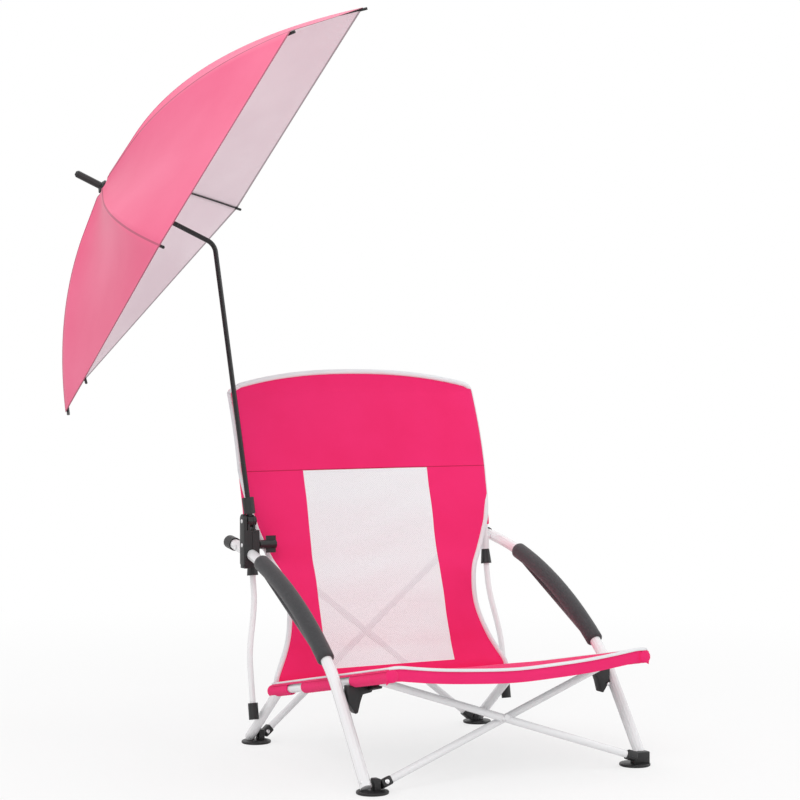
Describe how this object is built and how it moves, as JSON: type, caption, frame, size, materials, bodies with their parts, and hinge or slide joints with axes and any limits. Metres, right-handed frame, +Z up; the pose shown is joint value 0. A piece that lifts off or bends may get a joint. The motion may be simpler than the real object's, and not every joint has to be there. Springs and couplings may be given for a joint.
{
  "type": "beach chair with umbrella",
  "caption": "Low folding beach chair with a sling seat and mesh back on crossed tube struts, with a tilting umbrella clamped to its left arm.",
  "frame": {"origin": "centre of the whole object's bounding box on the floor", "axes": "+Z up; -Y is the way the sitter faces; -X is the side that carries the umbrella, on the viewer's left when facing the chair"},
  "size_m": [0.9798, 1.138, 1.5157],
  "materials": {
    "white": "gloss",
    "black": "satin",
    "foam": "matte foam",
    "pink": "woven polyester",
    "mesh": "open net",
    "canopy": "thin polyester",
    "steel": "black painted steel"
  },
  "bodies": {
    "left_frame": {"arm_tube_left": "white", "arm_grip_left": "foam", "arm_cap_left": "black", "front_foot_left": "black", "rear_foot_left": "black", "rear_leg_left": "white", "seat_rail_left": "white", "leg_bracket_left": "black", "back_post_left": "white", "post_collar_left": "black", "ring_connector_left": "black", "front_sleeve_left": "pink", "seat_sleeve_left": "pink", "back_sleeve_left": "pink", "seat_panel": "pink", "back_panel": "pink", "mesh_panel": "mesh", "clamp_body": "black"},
    "right_frame": {"arm_tube_right": "white", "arm_grip_right": "foam", "arm_cap_right": "black", "front_foot_right": "black", "rear_foot_right": "black", "rear_leg_right": "white", "seat_rail_right": "white", "leg_bracket_right": "black", "back_post_right": "white", "post_collar_right": "black", "ring_connector_right": "black", "front_sleeve_right": "pink", "seat_sleeve_right": "pink", "back_sleeve_right": "pink"},
    "front_strut_a": {"front_brace_a": "white"},
    "front_strut_b": {"front_brace_b": "white"},
    "rear_strut_a": {"rear_brace_a": "white"},
    "rear_strut_b": {"rear_brace_b": "white"},
    "clamp_jaw": {"clamp_jaw": "black"},
    "wing_knob": {"wing_knob": "black"},
    "umbrella_pole": {"pole": "steel", "pole_socket": "black", "crown": "black"},
    "runner": {"runner": "black"},
    "rib_1": {"rib_1": "steel", "canopy_1": "canopy"},
    "stretcher_1": {"stretcher_1": "steel"},
    "rib_2": {"rib_2": "steel", "canopy_2": "canopy"},
    "stretcher_2": {"stretcher_2": "steel"},
    "rib_3": {"rib_3": "steel", "canopy_3": "canopy"},
    "stretcher_3": {"stretcher_3": "steel"},
    "rib_4": {"rib_4": "steel", "canopy_4": "canopy"},
    "stretcher_4": {"stretcher_4": "steel"},
    "rib_5": {"rib_5": "steel", "canopy_5": "canopy"},
    "stretcher_5": {"stretcher_5": "steel"},
    "rib_6": {"rib_6": "steel", "canopy_6": "canopy"},
    "stretcher_6": {"stretcher_6": "steel"}
  },
  "joints": [
    {"name": "fold", "type": "hinge", "parent": "left_frame", "child": "front_strut_a", "pos_m": [-0.0823, -0.5233, 0.0211], "axis": [0, -0.9394, 0.3427], "range_deg": [0, 55.93], "deforming": ["seat_panel", "back_panel", "mesh_panel"]},
    {"name": "front_cross", "type": "hinge", "parent": "front_strut_a", "child": "front_strut_b", "pos_m": [0.1784, -0.49154, 0.10817], "axis": [0, -0.9394, 0.3427], "range_deg": [-111.87, 0]},
    {"name": "right_lug", "type": "hinge", "parent": "front_strut_b", "child": "right_frame", "pos_m": [0.4391, -0.5233, 0.0211], "axis": [0, -0.9394, 0.3427], "range_deg": [0, 55.94]},
    {"name": "rear_lug", "type": "hinge", "parent": "left_frame", "child": "rear_strut_a", "pos_m": [-0.0543, 0.0606, 0.02], "axis": [0, -0.9976, 0.0689], "range_deg": [0, 43.07]},
    {"name": "rear_cross", "type": "hinge", "parent": "rear_strut_a", "child": "rear_strut_b", "pos_m": [0.1784, 0.0736, 0.20822], "axis": [0, -0.9976, 0.0689], "range_deg": [-86.14, 0]},
    {"name": "knob_turn", "type": "hinge", "parent": "left_frame", "child": "wing_knob", "pos_m": [-0.0896, 0.0016, 0.408], "axis": [1, 0, 0], "range_deg": [0, 720]},
    {"name": "jaw_slide", "type": "slide", "parent": "left_frame", "child": "clamp_jaw", "axis": [1, 0, 0], "range_m": [0, 0.00259]},
    {"name": "tilt", "type": "hinge", "parent": "left_frame", "child": "umbrella_pole", "pos_m": [-0.1176, 0.0016, 0.456], "axis": [1, 0, 0], "range_deg": [-20, 20]},
    {"name": "runner_slide", "type": "slide", "parent": "umbrella_pole", "child": "runner", "axis": [0.8546, -0.2601, -0.4495], "range_m": [0, 0.1775]},
    {"name": "rib_hinge_1", "type": "hinge", "parent": "umbrella_pole", "child": "rib_1", "pos_m": [-0.36349, 0.14204, 1.13238], "axis": [0.1711, 0.9582, -0.2292], "range_deg": [0, 66.02], "deforming": ["canopy_1"]},
    {"name": "stretcher_hinge_1", "type": "hinge", "parent": "rib_1", "child": "stretcher_1", "pos_m": [-0.29963, 0.15079, 1.21662], "axis": [0.1711, 0.9582, -0.2292], "range_deg": [-132.04, 0]},
    {"name": "rib_hinge_2", "type": "hinge", "parent": "umbrella_pole", "child": "rib_2", "pos_m": [-0.36845, 0.13083, 1.12944], "axis": [0.5102, 0.5822, 0.6331], "range_deg": [0, 66.02], "deforming": ["canopy_2"]},
    {"name": "stretcher_hinge_2", "type": "hinge", "parent": "rib_2", "child": "stretcher_2", "pos_m": [-0.34592, 0.04613, 1.18918], "axis": [0.5102, 0.5822, 0.6331], "range_deg": [-132.04, 0]},
    {"name": "rib_hinge_3", "type": "hinge", "parent": "umbrella_pole", "child": "rib_3", "pos_m": [-0.37463, 0.12933, 1.11857], "axis": [0.3391, -0.3761, 0.8623], "range_deg": [0, 66.02], "deforming": ["canopy_3"]},
    {"name": "stretcher_hinge_3", "type": "hinge", "parent": "rib_3", "child": "stretcher_3", "pos_m": [-0.40363, 0.03212, 1.08758], "axis": [0.3391, -0.3761, 0.8623], "range_deg": [-132.04, 0]},
    {"name": "rib_hinge_4", "type": "hinge", "parent": "umbrella_pole", "child": "rib_4", "pos_m": [-0.37585, 0.13904, 1.11062], "axis": [-0.1711, -0.9582, 0.2292], "range_deg": [0, 66.02], "deforming": ["canopy_4"]},
    {"name": "stretcher_hinge_4", "type": "hinge", "parent": "rib_4", "child": "stretcher_4", "pos_m": [-0.41505, 0.12278, 1.01341], "axis": [-0.1711, -0.9582, 0.2292], "range_deg": [-132.04, 0]},
    {"name": "rib_hinge_5", "type": "hinge", "parent": "umbrella_pole", "child": "rib_5", "pos_m": [-0.3709, 0.15025, 1.11356], "axis": [-0.5102, -0.5822, -0.6331], "range_deg": [0, 66.02], "deforming": ["canopy_5"]},
    {"name": "stretcher_hinge_5", "type": "hinge", "parent": "rib_5", "child": "stretcher_5", "pos_m": [-0.36876, 0.22745, 1.04085], "axis": [-0.5102, -0.5822, -0.6331], "range_deg": [-132.04, 0]},
    {"name": "rib_hinge_6", "type": "hinge", "parent": "umbrella_pole", "child": "rib_6", "pos_m": [-0.36472, 0.15175, 1.12444], "axis": [-0.3391, 0.3761, -0.8623], "range_deg": [0, 66.02], "deforming": ["canopy_6"]},
    {"name": "stretcher_hinge_6", "type": "hinge", "parent": "rib_6", "child": "stretcher_6", "pos_m": [-0.31105, 0.24145, 1.14246], "axis": [-0.3391, 0.3761, -0.8623], "range_deg": [-132.04, 0]}
  ],
  "couplings": [
    {"joint": "front_cross", "follows": "fold", "ratio": -2},
    {"joint": "right_lug", "follows": "fold", "ratio": 1},
    {"joint": "rear_lug", "follows": "fold", "ratio": 0.76967},
    {"joint": "rear_cross", "follows": "fold", "ratio": -1.5393},
    {"joint": "knob_turn", "follows": "jaw_slide", "rad_per_m": 4854},
    {"joint": "rib_hinge_1", "follows": "runner_slide", "rad_per_m": 6.4897},
    {"joint": "stretcher_hinge_1", "follows": "runner_slide", "rad_per_m": -12.979},
    {"joint": "rib_hinge_2", "follows": "runner_slide", "rad_per_m": 6.4897},
    {"joint": "stretcher_hinge_2", "follows": "runner_slide", "rad_per_m": -12.979},
    {"joint": "rib_hinge_3", "follows": "runner_slide", "rad_per_m": 6.4897},
    {"joint": "stretcher_hinge_3", "follows": "runner_slide", "rad_per_m": -12.979},
    {"joint": "rib_hinge_4", "follows": "runner_slide", "rad_per_m": 6.4897},
    {"joint": "stretcher_hinge_4", "follows": "runner_slide", "rad_per_m": -12.979},
    {"joint": "rib_hinge_5", "follows": "runner_slide", "rad_per_m": 6.4897},
    {"joint": "stretcher_hinge_5", "follows": "runner_slide", "rad_per_m": -12.979},
    {"joint": "rib_hinge_6", "follows": "runner_slide", "rad_per_m": 6.4897},
    {"joint": "stretcher_hinge_6", "follows": "runner_slide", "rad_per_m": -12.979}
  ]
}
